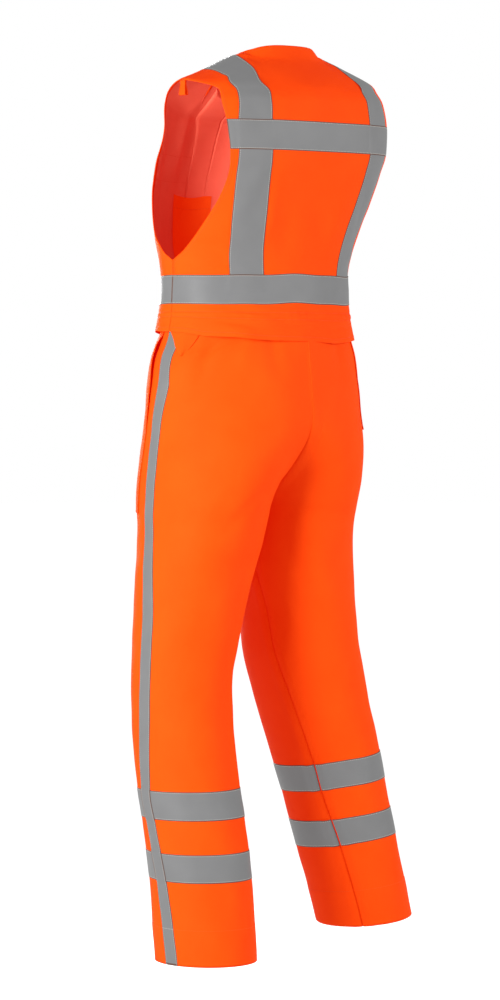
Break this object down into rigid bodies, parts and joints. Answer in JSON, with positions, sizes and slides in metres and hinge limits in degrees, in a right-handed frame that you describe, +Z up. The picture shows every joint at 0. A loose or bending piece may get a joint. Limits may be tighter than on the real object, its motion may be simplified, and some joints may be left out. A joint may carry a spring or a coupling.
{
  "type": "bib overalls",
  "caption": "Sleeveless high-visibility bib overalls as worn, hollow: vest-like bib with wide armholes, elasticated waist panel, full trousers and sewn-on reflective tape.",
  "frame": {"origin": "middle of the shoulder line, where the wearer holds the garment up", "axes": "+Z up, -Y is the front of the garment, +X is the wearer's left"},
  "size_m": [0.5775, 0.3287, 1.5563],
  "materials": {
    "twill": "smooth fluorescent orange twill, soft low sheen, fine diagonal weave",
    "twill_reverse": "paler matt reverse of the twill, seen inside the bib",
    "tape": "grey retro-reflective tape, fine even grain, semi-matt"
  },
  "bodies": {
    "root": {"back_panel": "twill", "brace_tape_left": "tape", "brace_tape_right": "tape", "chest_tape_back": "tape", "chest_tape_front_left": "tape", "chest_tape_front_right": "tape", "fly_cover": "twill", "front_facing_left": "twill_reverse", "front_facing_right": "twill_reverse", "front_left": "twill", "front_placket": "twill", "front_right": "twill", "hip_pocket_left": "twill", "hip_pocket_right": "twill", "inner_pocket": "twill", "leg_band_lower_left": "tape", "leg_band_lower_right": "tape", "leg_band_upper_left": "tape", "leg_band_upper_right": "tape", "shoulder_loop_left": "twill", "shoulder_loop_right": "twill", "side_tape_left": "tape", "side_tape_right": "tape", "tool_pocket_right": "twill", "trouser_back_left": "twill", "trouser_back_right": "twill", "trouser_front_left": "twill", "trouser_front_right": "twill", "waist_back": "twill", "waist_front_left": "twill", "waist_front_right": "twill", "waist_tape_back": "tape", "waist_tape_front_left": "tape", "waist_tape_front_right": "tape"}
  },
  "joints": []
}
